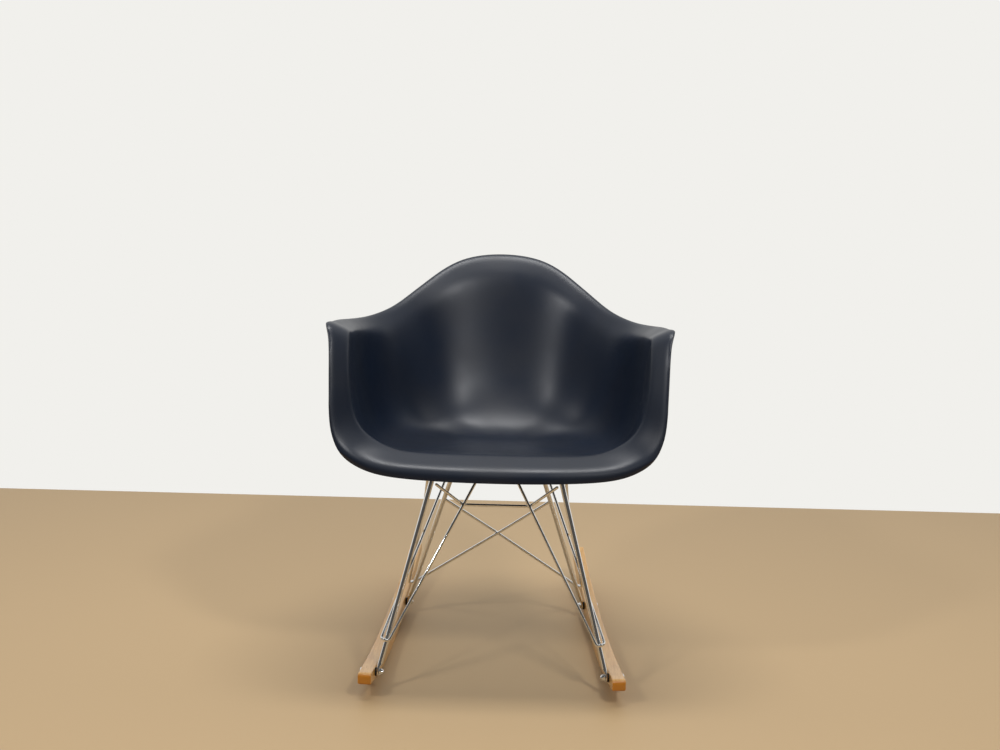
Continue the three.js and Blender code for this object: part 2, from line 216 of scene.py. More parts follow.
def vary_roughness(
    tree: bpy.types.NodeTree,
    shader: bpy.types.Node,
    pattern: bpy.types.NodeSocket,
    within: tuple[float, float],
    roughness: tuple[float, float],
) -> None:
    """Drives the shader's roughness by a pattern.

    Args:
        tree: the node tree that gets the node.
        shader: the surface shader.
        pattern: the value that drives it.
        within: the part of the pattern's range that is used.
        roughness: roughness at either end of that part.
    """
    inputs = {
        "Value": pattern,
        "From Min": within[0],
        "From Max": within[1],
        "To Min": roughness[0],
        "To Max": roughness[1],
    }
    node = add_node(tree, "ShaderNodeMapRange", inputs=inputs)
    tree.links.new(node.outputs["Result"], shader.inputs["Roughness"])


def raise_grain(
    tree: bpy.types.NodeTree,
    shader: bpy.types.Node,
    height: bpy.types.NodeSocket,
    strength: float,
    distance: float,
) -> None:
    """Gives the shader's surface a relief.

    Args:
        tree: the node tree that gets the node.
        shader: the surface shader.
        height: the pattern of the relief.
        strength: how much of it shows.
        distance: its depth in metres.
    """
    inputs = {"Height": height, "Strength": strength, "Distance": distance}
    bump = add_node(tree, "ShaderNodeBump", inputs=inputs)
    tree.links.new(bump.outputs["Normal"], shader.inputs["Normal"])


# ---- finishes ---------------------------------------------------------------------------------


@dataclass(frozen=True)
class Finish:
    """A material's name and how to dress its shader."""

    name: str

    def dress(self, tree: bpy.types.NodeTree, shader: bpy.types.Node) -> None:
        """Adds the finish's nodes and sets the shader; each finish has its own."""
        raise NotImplementedError

    def material(self) -> bpy.types.Material:
        """Returns the material, made on first use."""
        made = bpy.data.materials.get(self.name)
        if made is None:
            made = bpy.data.materials.new(self.name)
            made.use_nodes = True
            self.dress(made.node_tree, made.node_tree.nodes["Principled BSDF"])
        return made

    @staticmethod
    def pattern_space(
        tree: bpy.types.NodeTree,
        scale: tuple[float, float, float] = (1.0, 1.0, 1.0),
        turn: float = 0.0,
    ) -> bpy.types.NodeSocket:
        """Object coordinates, turned about Z and scaled.

        Args:
            tree: the node tree that gets the nodes.
            scale: cycles per metre along each axis.
            turn: turn about Z, in radians.

        Returns:
            The vector output.
        """
        place = add_node(tree, "ShaderNodeTexCoord").outputs["Object"]
        size = tuple(1.0 / cycles for cycles in scale)
        inputs = {"Vector": place, "Rotation": (0.0, 0.0, turn), "Scale": size}
        kind = {"vector_type": "TEXTURE"}
        return add_node(tree, "ShaderNodeMapping", kind, inputs).outputs["Vector"]


@dataclass(frozen=True)
class MouldedPolypropylene(Finish):
    """Through-coloured polypropylene from a sparked mould: a satin skin with a fine grain.

    The grain breaks up each reflection, years of use have polished the seat in soft patches, and
    thin scratches catch the light.
    """

    name: str = "moulded_polypropylene_navy"
    colour: str = "0a1526"
    worn_colour: str = "0e1a2c"
    scratch_colour: str = "2c333d"
    roughness: float = 0.40
    # The mould's grain is about 0.3 mm; it is drawn four times as coarse, so that it shows.
    grain_mm: float = 1.2
    patch_mm: float = 90.0

    def dress(self, tree: bpy.types.NodeTree, shader: bpy.types.Node) -> None:
        """Sets satin plastic with grain, worn patches and fine scratches."""
        place = self.pattern_space(tree)
        patches = noise(tree, place, per_metre(self.patch_mm), 3.0)
        stops = [(0.35, linear(self.colour)), (0.7, linear(self.worn_colour))]
        worn = ramp(tree, patches, stops)
        colour = blend(tree, self.scratches(tree), worn, linear(self.scratch_colour))
        tree.links.new(colour, shader.inputs["Base Color"])
        polish = (self.roughness + 0.04, self.roughness - 0.05)
        vary_roughness(tree, shader, patches, (0.3, 0.7), polish)
        grain = noise(tree, place, per_metre(self.grain_mm), 3.0, Roughness=0.6)
        raise_grain(tree, shader, grain, strength=0.22, distance=0.00012)
        shader.inputs["IOR"].default_value = 1.49

    def scratches(self, tree: bpy.types.NodeTree) -> bpy.types.NodeSocket:
        """Sparse fine lines: the crests of a stretched noise, kept only in a few patches.

        Args:
            tree: the node tree that gets the nodes.

        Returns:
            How much of a scratch shows at each place.
        """
        stretched = self.pattern_space(tree, (14.0, 9.0, 120.0), math.radians(20))
        lines = noise(tree, stretched, 4.0, 1.0)
        thin = ramp(tree, lines, [(0.496, grey(0.0)), (0.5, grey(1.0)), (0.504, grey(0.0))])
        where = noise(tree, self.pattern_space(tree), 9.0)
        few = ramp(tree, where, [(0.62, grey(0.0)), (0.7, grey(0.5))])
        product = add_node(tree, "ShaderNodeMath", {"operation": "MULTIPLY"}, {0: thin, 1: few})
        return product.outputs["Value"]


@dataclass(frozen=True)
class LacqueredMaple(Finish):
    """Solid maple under clear satin lacquer: quiet grain along the rocker, amber end grain.

    The lacquer gives the sharp highlight on the rounded edges; the wood below stays warm and soft.
    """

    name: str = "lacquered_maple"
    pale: str = "dca95c"
    honey: str = "c88f3e"
    fleck: str = "a5713a"
    end_grain: str = "c47d18"
    grain_mm: float = 2.2  # spacing of the growth lines across the board
    run_mm: float = 140.0  # how far a line runs before it wanders
    fleck_mm: float = 0.8  # width of the short flecks
    fleck_run_mm: float = 6.0

    def dress(self, tree: bpy.types.NodeTree, shader: bpy.types.Node) -> None:
        """Sets long quiet grain, short flecks, darker end grain and a clear coat."""
        grain, fleck = per_metre(self.grain_mm), per_metre(self.fleck_mm)
        along = self.pattern_space(tree, (grain, per_metre(self.run_mm), grain))
        lines = noise(tree, along, 0.5, 4.0, Distortion=0.4)
        short = self.pattern_space(tree, (fleck, per_metre(self.fleck_run_mm), fleck))
        flecks = noise(tree, short, 1.0)
        honey, pale = linear(self.honey), linear(self.pale)
        body = ramp(tree, lines, [(0.3, honey), (0.62, pale), (0.75, honey)])
        fleck_amount = ramp(tree, flecks, [(0.58, grey(0.0)), (0.72, grey(0.45))])
        flecked = blend(tree, fleck_amount, body, linear(self.fleck))
        colour = blend(tree, self.end_facing(tree), flecked, linear(self.end_grain))
        tree.links.new(colour, shader.inputs["Base Color"])
        raise_grain(tree, shader, lines, strength=0.15, distance=0.0002)
        shader.inputs["Roughness"].default_value = 0.42
        shader.inputs["Coat Weight"].default_value = 0.6
        shader.inputs["Coat Roughness"].default_value = 0.18

    @staticmethod
    def end_facing(tree: bpy.types.NodeTree) -> bpy.types.NodeSocket:
        """One where the surface faces along the board, zero on its long faces.

        Args:
            tree: the node tree that gets the nodes.

        Returns:
            The value output.
        """
        normal = add_node(tree, "ShaderNodeNewGeometry").outputs["Normal"]
        split = add_node(tree, "ShaderNodeSeparateXYZ", inputs={"Vector": normal})
        size = add_node(
            tree, "ShaderNodeMath", {"operation": "ABSOLUTE"}, {0: split.outputs["Y"]}
        ).outputs["Value"]
        smooth = {"interpolation_type": "SMOOTHSTEP"}
        limits = {"Value": size, "From Min": 0.35, "From Max": 0.85}
        return add_node(tree, "ShaderNodeMapRange", smooth, limits).outputs["Result"]


@dataclass(frozen=True)
class Metal(Finish):
    """A plated steel: reflections carry its look, and faint streaks keep them from being perfect."""

    colour: str = "e6e7e8"
    roughness: float = 0.07
    streak_mm: float = 8.0
    streak: float = 0.05

    def dress(self, tree: bpy.types.NodeTree, shader: bpy.types.Node) -> None:
        """Sets the metal and varies its roughness a little."""
        streaks = noise(tree, self.pattern_space(tree), per_metre(self.streak_mm), 4.0)
        dulled = self.roughness + self.streak
        vary_roughness(tree, shader, streaks, (0.35, 0.7), (self.roughness, dulled))
        shader.inputs["Base Color"].default_value = linear(self.colour)
        shader.inputs["Metallic"].default_value = 1.0


@dataclass(frozen=True)
class MouldedRubber(Finish):
    """Natural rubber, compression moulded: black, matt, slightly dusty."""

    name: str = "moulded_rubber_black"
    colour: str = "141416"
    dust: str = "26262a"
    dust_mm: float = 3.0

    def dress(self, tree: bpy.types.NodeTree, shader: bpy.types.Node) -> None:
        """Sets matt black with a faint bloom of dust."""
        bloom = noise(tree, self.pattern_space(tree), per_metre(self.dust_mm), 4.0)
        colour = ramp(tree, bloom, [(0.4, linear(self.colour)), (0.75, linear(self.dust))])
        tree.links.new(colour, shader.inputs["Base Color"])
        shader.inputs["Roughness"].default_value = 0.8


@dataclass(frozen=True)
class StudioFloor(Finish):
    """Matt floor paint in a warm pale tan, with a soft sheen."""

    name: str = "pale_floor_paint"
    colour: str = "b89c74"

    def dress(self, tree: bpy.types.NodeTree, shader: bpy.types.Node) -> None:
        """Sets one colour and a soft sheen."""
        shader.inputs["Base Color"].default_value = linear(self.colour)
        shader.inputs["Roughness"].default_value = 0.55


@dataclass(frozen=True)
class BacklitScreen(Finish):
    """Translucent white screen lit from behind: an even bright surround, clear from its rear."""

    name: str = "backlit_white_screen"
    colour: str = "f1f0ec"

    def dress(self, tree: bpy.types.NodeTree, shader: bpy.types.Node) -> None:
        """Sets the glow on the front and lets the eye through from the rear."""
        light = {"Color": linear(self.colour), "Strength": 1.0}
        glow = add_node(tree, "ShaderNodeEmission", inputs=light)
        clear = add_node(tree, "ShaderNodeBsdfTransparent")
        rear = add_node(tree, "ShaderNodeNewGeometry").outputs["Backfacing"]
        mixed = add_node(
            tree,
            "ShaderNodeMixShader",
            inputs={0: rear, 1: glow.outputs["Emission"], 2: clear.outputs["BSDF"]},
        )
        end = next(node for node in tree.nodes if node.type == "OUTPUT_MATERIAL")
        tree.links.new(mixed.outputs["Shader"], end.inputs["Surface"])
        tree.nodes.remove(shader)


POLYPROPYLENE = MouldedPolypropylene()
MAPLE = LacqueredMaple()
CHROME = Metal("chromed_steel")  # bright chromium plate on drawn steel rod
# dull grey zinc plate, with a fine uneven haze
ZINC = Metal("zinc_plated_steel", colour="b9bcc0", roughness=0.3, streak_mm=2.0, streak=0.15)
RUBBER = MouldedRubber()


# ---- mesh helpers -----------------------------------------------------------------------------


def pose(origin: Vector, x: Vector, y: Vector, z: Vector) -> Matrix:
    """A matrix whose columns are the three directions and the origin."""
    turn = Matrix((x, y, z)).transposed().to_4x4()
    return Matrix.Translation(origin) @ turn


def upright_pose(origin: Vector, up: Vector) -> Matrix:
    """A matrix that stands a turned piece's Z along a direction."""
    return Matrix.Translation(origin) @ up.to_track_quat("Z", "Y").to_matrix().to_4x4()


def show(name: str, data: bpy.types.ID) -> bpy.types.Object:
    """Adds an object that holds this mesh, lamp or camera to the scene, and returns it."""
    shown = bpy.data.objects.new(name, data)
    bpy.context.scene.collection.objects.link(shown)
    return shown


def make_piece(
    shape: bmesh.types.BMesh,
    name: str,
    finish: Finish,
    nodes: Sequence[str],
) -> bpy.types.Object:
    """Turns a finished bmesh into a smooth piece that rides on the chair.

    Args:
        shape: the mesh, with its place in its vertices; it is freed.
        name: the piece's name.
        finish: what it is made of.
        nodes: CAD nodes that it stands for.

    Returns:
        The new object.
    """
    mesh = bpy.data.meshes.new(name)
    shape.to_mesh(mesh)
    shape.free()
    mesh.shade_smooth()
    mesh.materials.append(finish.material())
    piece = show(name, mesh)
    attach(piece, "root")
    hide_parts(*nodes)
    LOG.info("%s: %d faces, %s", name, len(mesh.polygons), finish.name)
    return piece


def make_chromed(shape: bmesh.types.BMesh, node: str) -> bpy.types.Object:
    """Turns a bmesh into the chromed piece that stands for a CAD node."""
    return make_piece(shape, f"chromed_{node}", CHROME, [node])


def add_modifier(piece: bpy.types.Object, kind: str, **settings: object) -> None:
    """Adds a modifier to a piece and sets its properties."""
    modifier = piece.modifiers.new(kind.lower(), kind)
    for key, value in settings.items():
        setattr(modifier, key, value)


def turned(
    profile: Iterable[tuple[float, float]], rounding: float, steps: int = 32
) -> bmesh.types.BMesh:
    """A body turned about Z from a radius-and-height profile whose corners are rounded.

    Args:
        profile: radius and height of each corner, in order.
        rounding: how far each inner corner is rounded.
        steps: faces round the body.

    Returns:
        The closed body, facing outwards.
    """
    shape = bmesh.new()
    corners = [shape.verts.new((radius, 0.0, height)) for radius, height in profile]
    for start, stop in zip(corners, corners[1:]):
        shape.edges.new((start, stop))
    inner = [v for v in corners if len(v.link_edges) == 2]
    bmesh.ops.bevel(
        shape,
        geom=inner,
        offset=rounding,
        offset_type="OFFSET",
        segments=3,
        profile=0.5,
        affect="VERTICES",
        material=-1,
        clamp_overlap=True,
    )
    bmesh.ops.spin(
        shape,
        geom=[*shape.verts, *shape.edges],
        axis=(0.0, 0.0, 1.0),
        cent=(0.0, 0.0, 0.0),
        steps=steps,
        angle=math.tau,
        use_merge=True,
    )
    return closed(shape)


def add_hexagon(
    shape: bmesh.types.BMesh,
    flats: float,
    depth: float,
    middle: Matrix,
    segments: int,
    caps_only: bool = False,
) -> None:
    """Adds a hexagonal prism with softened edges, such as a nut or a screw's head.

    Args:
        shape: the mesh that gets it.
        flats: width across flats.
        depth: its height.
        middle: where its middle lies.
        segments: steps in the rounding of each edge.
        caps_only: whether only the edges of the two end faces are rounded.
    """
    radius = flats / math.sqrt(3)
    prism = bmesh.ops.create_cone(
        shape,
        cap_ends=True,
        segments=6,
        radius1=radius,
        radius2=radius,
        depth=depth,
        matrix=middle,
    )["verts"]
    rims = {edge for vert in prism for edge in vert.link_edges}
    if caps_only:
        rims = {edge for edge in rims if edge.calc_face_angle(0) > math.radians(69)}
    bmesh.ops.bevel(
        shape,
        geom=list(rims),
        offset=HEXAGON_ROUND,
        segments=segments,
        profile=0.5,
        affect="EDGES",
        material=-1,
    )


def closed(shape: bmesh.types.BMesh) -> bmesh.types.BMesh:
    """Merges doubled points of a mesh, fills its open ends and turns its faces outwards."""
    bmesh.ops.remove_doubles(shape, verts=shape.verts, dist=1e-6)
    open_edges = [e for e in shape.edges if e.is_boundary]
    if open_edges:
        bmesh.ops.holes_fill(shape, edges=open_edges)
    bmesh.ops.recalc_face_normals(shape, faces=shape.faces)
    return shape


@dataclass(frozen=True)
class Section:
    """One cross-section of a swept rod: an oval, or a rounded flat, at a point.

    Attributes:
        at: its middle.
        along: direction of the rod there.
        across: direction of its width.
        half_width: half its width.
        half_depth: half its depth.
        squareness: 2 for an oval, more for a flat with tighter corners.
    """

    at: Vector
    along: Vector
    across: Vector
    half_width: float
    half_depth: float
    squareness: float = 2.0

    def point(self, angle: float) -> Vector:
        """Point of the outline at an angle from the width direction."""
        across = (self.across - self.across.project(self.along)).normalized()
        deep = self.along.cross(across).normalized()
        power = 2.0 / self.squareness
        x = math.copysign(abs(math.cos(angle)) ** power, math.cos(angle))
        y = math.copysign(abs(math.sin(angle)) ** power, math.sin(angle))
        return self.at + across * (x * self.half_width) + deep * (y * self.half_depth)


def swept(sections: Sequence[Section], sides: int) -> bmesh.types.BMesh:
    """A closed rod through the sections, each one a circle moved to its outline and bridged.

    Args:
        sections: the cross-sections in order.
        sides: points round each one.

    Returns:
        The closed body, facing outwards.
    """
    shape = bmesh.new()
    previous = None
    for section in sections:
        ring = bmesh.ops.create_circle(shape, segments=sides, radius=1.0)["verts"]
        for index, vert in enumerate(ring):
            vert.co = section.point(math.tau * index / sides)
        edges = list({e for v in ring for e in v.link_edges})
        if previous:
            bmesh.ops.bridge_loops(shape, edges=previous + edges)
        previous = edges
    return closed(shape)


def eased(share: float) -> float:
    """A share that starts and finishes softly."""
    return share * share * (3 - 2 * share)


def rounded_tip(end: Section, onwards: int) -> list[Section]:
    """Sections of a flat's half-round tip, from its widest part outwards.

    Args:
        end: the widest section, at the tip's centre.
        onwards: 1 if the tip lies ahead of it along the rod, -1 if behind.

    Returns:
        The sections in order.
    """
    sections = []
    for out in TIP_STEPS:
        at = end.at + end.along * (onwards * end.half_width * out)
        width = end.half_width * math.sqrt(1 - out * out)
        depth = end.half_depth * (0.75 if out == TIP_STEPS[-1] else 1.0)
        sections.append(Section(at, end.along, end.across, width, depth, end.squareness))
    return sections


def bent_path(corners: Sequence[Vector], radius: float, steps: int = 10) -> list[Vector]:
    """Points along straight lengths joined by arcs.

    Args:
        corners: start, each corner, and end.
        radius: radius of the arcs.
        steps: lengths in each arc.

    Returns:
        The points in order.
    """
    points = [corners[0].copy()]
    for before, corner, after in zip(corners, corners[1:], corners[2:]):
        back = (before - corner).normalized()
        ahead = (after - corner).normalized()
        half = back.angle(ahead) / 2
        middle = corner + (back + ahead).normalized() * (radius / math.sin(half))
        arm = corner + back * (radius / math.tan(half)) - middle
        axis = arm.cross(ahead).normalized()
        for step in range(steps + 1):
            turn = Matrix.Rotation((math.pi - 2 * half) * step / steps, 3, axis)
            points.append(middle + turn @ arm)
    points.append(corners[-1].copy())
    return points


def round_sections(points: Sequence[Vector], radius: float) -> list[Section]:
    """Round sections along a path with domed ends, carried without twist.

    Args:
        points: points of the path.
        radius: radius of the rod.

    Returns:
        The sections in order.
    """
    count = len(points)
    ways = []
    for index in range(count):
        before = points[max(index - 1, 0)]
        after = points[min(index + 1, count - 1)]
        ways.append((after - before).normalized())
    across = ways[0].orthogonal().normalized()
    sections = []
    for index, (point, way) in enumerate(zip(points, ways)):
        if index:
            across = ways[index - 1].rotation_difference(way) @ across
        sections.append(Section(point, way, across, radius, radius))

    def dome(end: Section, inwards: int) -> list[Section]:
        """Sections of a domed end, from its base to its tip.

        Args:
            end: the flat end of the rod.
            inwards: 1 if the rod runs on from it, -1 if the rod stops at it.

        Returns:
            The sections in order.
        """
        rings = []
        for degrees in (0, 15, 35, 55, 75, 85):
            angle = math.radians(degrees)
            at = end.at + end.along * (inwards * radius * (1 - math.sin(angle)))
            narrow = radius * math.cos(angle)
            rings.append(Section(at, end.along, end.across, narrow, narrow))
        return rings

    return [*reversed(dome(sections[0], 1)), *sections[1:-1], *dome(sections[-1], -1)]


# ---- places from the frame --------------------------------------------------------------------


def middle_of(node: str) -> Vector:
    """Middle of a CAD node's box."""
    low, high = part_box(node)
    return (low + high) / 2


def opposite(point: Vector) -> Vector:
    """The same point on the other side of the chair."""
    return Vector((-point.x, point.y, point.z))


@dataclass(frozen=True)
class Corner:
    """One of the four legs' places: its foot on the rocker and its mounting point on the seat."""

    end: End
    side: Side

    @property
    def tag(self) -> str:
        """Ending of the names of the pieces at this corner."""
        return f"{self.end.name.lower()}_{self.side.name.lower()}"

    @property
    def inward(self) -> Vector:
        """Direction of the foot's bolt, from the rocker towards the middle of the chair."""
        side = self.side.name.lower()
        run = middle_of(f"spacer_rear_{side}") - middle_of(f"spacer_front_{side}")
        run.z = 0
        return run.normalized().cross(Vector((0, 0, -self.side.value)))

    @property
    def spacer_middle(self) -> Vector:
        """Middle of the spacer between rocker and leg."""
        return middle_of(f"spacer_{self.tag}")

    @property
    def pad_middle(self) -> Vector:
        """Middle of the rubber mount."""
        return middle_of(f"shock_mount_{self.tag}")

    @property
    def pad_base(self) -> float:
        """Height of the underside of the rubber mount."""
        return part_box(f"shock_mount_{self.tag}")[0].z


CORNERS = [Corner(end, side) for end in End for side in Side]


# ---- seat shell -------------------------------------------------------------------------------


@dataclass(frozen=True)
class RimStation:
    """Shape of the shell in one direction from the seat's middle.

    Attributes:
        edge: free edge of the flange.
        bend: where the flange turns down to its edge.
        brim: inside line where the wall turns outwards into the flange.
        foot: how far out the seat stays flat, as a part of the way to the brim.
        wall: how far out the wall is set.
        rise: how high the wall is set.
        soft: how gently the wall turns into the flange.
    """

    edge: tuple[float, float, float]
    bend: tuple[float, float, float]
    brim: tuple[float, float, float]
    foot: float
    wall: float
    rise: float
    soft: float

    def values(self, side: int = 1) -> Vector:
        """All values in one vector, with X mirrored for the left side."""
        places = []
        for x, y, z in (self.edge, self.bend, self.brim):
            places += [side * x, y, z]
        return Vector((*places, self.foot, self.wall, self.rise, self.soft))


HALF_RIM = (
    RimStation((0, -0.3555, 0.410), (0, -0.357, 0.430), (0, -0.302, 0.450), 0.50, 0.80, 0.62, 0.018),
    RimStation(
        (0.128, -0.3555, 0.413), (0.129, -0.3565, 0.433), (0.126, -0.301, 0.451), 0.52, 0.80, 0.60, 0.018
    ),
    RimStation(
        (0.229, -0.350, 0.424), (0.233, -0.353, 0.442), (0.198, -0.301, 0.460), 0.58, 0.82, 0.42, 0.015
    ),
    RimStation(
        (0.289, -0.335, 0.462), (0.294, -0.343, 0.474), (0.252, -0.300, 0.500), 0.66, 0.87, 0.25, 0.012
    ),
    RimStation(
        (0.303, -0.300, 0.560), (0.306, -0.315, 0.564), (0.270, -0.285, 0.575), 0.70, 0.90, 0.18, 0.010
    ),
    RimStation(
        (0.308, -0.266, 0.644), (0.310, -0.280, 0.649), (0.273, -0.254, 0.640), 0.71, 0.91, 0.16, 0.010
    ),
    RimStation(
        (0.3158, -0.252, 0.6735), (0.312, -0.254, 0.677), (0.273, -0.236, 0.657), 0.72, 0.92, 0.16, 0.010
    ),
    RimStation(
        (0.3145, -0.205, 0.668), (0.311, -0.206, 0.674), (0.271, -0.200, 0.653), 0.72, 0.92, 0.16, 0.012
    ),
    RimStation(
        (0.310, -0.140, 0.660), (0.306, -0.141, 0.669), (0.267, -0.138, 0.646), 0.72, 0.92, 0.16, 0.014
    ),
    RimStation(
        (0.296, -0.065, 0.651), (0.291, -0.067, 0.660), (0.257, -0.069, 0.633), 0.67, 0.89, 0.17, 0.020
    ),
    RimStation(
        (0.263, 0.009, 0.648), (0.259, 0.003, 0.656), (0.229, -0.004, 0.622), 0.57, 0.83, 0.19, 0.028
    ),
    RimStation(
        (0.219, 0.067, 0.661), (0.215, 0.061, 0.668), (0.192, 0.042, 0.630), 0.46, 0.76, 0.23, 0.034
    ),
    RimStation(
        (0.165, 0.131, 0.698), (0.162, 0.124, 0.706), (0.146, 0.098, 0.661), 0.38, 0.70, 0.26, 0.040
    ),
    RimStation(
        (0.092, 0.176, 0.745), (0.090, 0.168, 0.752), (0.082, 0.138, 0.703), 0.32, 0.66, 0.28, 0.044
    ),
    RimStation((0, 0.190, 0.7585), (0, 0.183, 0.764), (0, 0.150, 0.716), 0.30, 0.65, 0.28, 0.046),
)


@dataclass
class SeatShell:
    """The one-piece moulded bucket with its curled flange and four round bosses below."""

    wall: float = 0.0045
    centre: Vector = field(default_factory=lambda: Vector((0.0, -0.035, 0.416)))
    pan_fall: float = 0.05  # how much the pan falls for each metre towards the back
    near: float = 0.45  # inner control point, as a part of the foot
    foot_lift: float = 0.1  # how much of the wall's rise the foot already has
    columns: int = 60
    rows: int = 28
    boss_radius: float = 0.019
    boss_drop: float = 0.006  # how far a boss stands below the wall
    boss_flare: float = 0.005
    boss_root: float = 0.0015  # how far a boss reaches into the wall
    edge_round: float = 0.0013

    def __post_init__(self) -> None:
        """Lays the stations out round the whole rim."""
        left = [station.values(-1) for station in reversed(HALF_RIM[1:-1])]
        self.rim = [station.values() for station in HALF_RIM] + left

    def rim_at(self, turn: float) -> Vector:
        """The station values at a turn round the rim, by a centripetal Catmull-Rom curve.

        Args:
            turn: 0 at the middle of the front lip, rising to 1 anticlockwise from above.

        Returns:
            The values there.
        """
        count = len(self.rim)
        place = turn * count
        index = math.floor(place)
        along = place - index
        before, start, stop, after = (self.rim[(index + k) % count] for k in (-1, 0, 1, 2))

        def reach(first: Vector, second: Vector) -> float:
            """Square root of the distance between two stations' edges."""
            return math.sqrt((Vector(second[:3]) - Vector(first[:3])).length)

        back, here, ahead = reach(before, start), reach(start, stop), reach(stop, after)
        leave = (start - before) / back - (stop - before) / (back + here) + (stop - start) / here
        reach_in = (stop - start) / here - (after - start) / (here + ahead) + (after - stop) / ahead
        leave, reach_in = leave * here, reach_in * here
        square = (stop - start) * 3 - leave * 2 - reach_in
        cube = (start - stop) * 2 + leave + reach_in
        return start + leave * along + square * along**2 + cube * along**3

    def pan_height(self, y: float) -> float:
        """Height of the seat pan near its middle."""
        return self.centre.z - self.pan_fall * (y - self.centre.y)

    def profile(self, turn: float) -> list[Vector]:
        """Nine control points from the seat's middle to the edge of the flange.

        Args:
            turn: turn round the rim.

        Returns:
            The points in order.
        """
        values = self.rim_at(turn)
        edge, bend, brim = (Vector(values[k : k + 3]) for k in (0, 3, 6))
        foot_at, wall_at, rise, soft = values[9:13]
        flat = Vector((brim.x - self.centre.x, brim.y - self.centre.y, 0.0))
        near, foot, wall = (
            self.centre + flat * part for part in (foot_at * self.near, foot_at, wall_at)
        )
        near.z = self.pan_height(near.y)
        base = self.pan_height(foot.y)
        foot.z = base + self.foot_lift * rise * (brim.z - self.centre.z)
        wall.z = base + rise * (brim.z - base)
        lead = brim - (brim - wall).normalized() * soft
        middle = brim.lerp(bend, 0.5)
        return [self.centre, near, foot, wall, lead, brim, middle, bend, edge]

    @staticmethod
    def spline(control: Sequence[Vector], place: float) -> Vector:
        """Point of a clamped cubic B-spline, by de Boor's scheme.

        Args:
            control: the control points.
            place: from 0 to 1.

        Returns:
            The point.
        """
        spans = len(control) - 3

        def knot(index: int) -> int:
            """Knot value."""
            return min(max(index - 3, 0), spans)

        x = min(place * spans, spans - 1e-9)
        k = math.floor(x) + 3
        points = [control[j + k - 3].copy() for j in range(4)]
        for level in range(1, 4):
            for j in range(3, level - 1, -1):
                low = knot(j + k - 3)
                share = (x - low) / (knot(j + 1 + k - level) - low)
                points[j] = points[j - 1].lerp(points[j], share)
        return points[3]

    def build(self) -> bpy.types.Object:
        """Makes the bucket: a grid wrapped round the rim, thickened, edge-rounded and smoothed."""
        shape = bmesh.new()
        bmesh.ops.create_grid(shape, x_segments=self.columns, y_segments=self.rows, size=0.5)
        profiles: dict[float, list[Vector]] = {}
        for vert in shape.verts:
            turn = round(vert.co.x + 0.5, 6) % 1.0
            if turn not in profiles:
                profiles[turn] = self.profile(turn)
            vert.co = self.spline(profiles[turn], min(max(vert.co.y + 0.5, 0.0), 1.0))
        bmesh.ops.remove_doubles(shape, verts=shape.verts, dist=1e-6)
        bmesh.ops.recalc_face_normals(shape, faces=shape.faces)
        middle = min(shape.verts, key=lambda v: (v.co - self.centre).length)
        if middle.normal.z < 0:
            bmesh.ops.reverse_faces(shape, faces=shape.faces)
        piece = make_piece(shape, "seat_bucket", POLYPROPYLENE, ["seat_shell"])
        add_modifier(piece, "SOLIDIFY", thickness=self.wall, offset=-1.0)
        add_modifier(
            piece,
            "BEVEL",
            width=self.edge_round,
            segments=2,
            limit_method="ANGLE",
            angle_limit=math.radians(60),
        )
        add_modifier(piece, "SUBSURF", levels=2, render_levels=2)
        return piece

    def build_boss(self, corner: Corner) -> bpy.types.Object:
        """Makes one round boss, flared where it runs into the wall.

        Args:
            corner: where it stands.

        Returns:
            The new object.
        """
        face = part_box(f"shock_mount_{corner.tag}")[1].z + GAP
        top = self.boss_drop + self.boss_root
        radius, flare = self.boss_radius, self.boss_flare
        profile = [
            (0.0, 0.0),
            (radius, 0.0),
            (radius, top - flare),
            (radius + 0.3 * flare, top - 0.45 * flare),
            (radius + flare, top),
            (0.0, top + self.boss_root),
        ]
        shape = turned(profile, rounding=0.0008, steps=40)
        spot = Vector((corner.pad_middle.x, corner.pad_middle.y, face))
        bmesh.ops.translate(shape, verts=shape.verts, vec=spot)
        return make_piece(shape, f"seat_boss_{corner.tag}", POLYPROPYLENE, [])


# ---- mounts under the seat --------------------------------------------------------------------


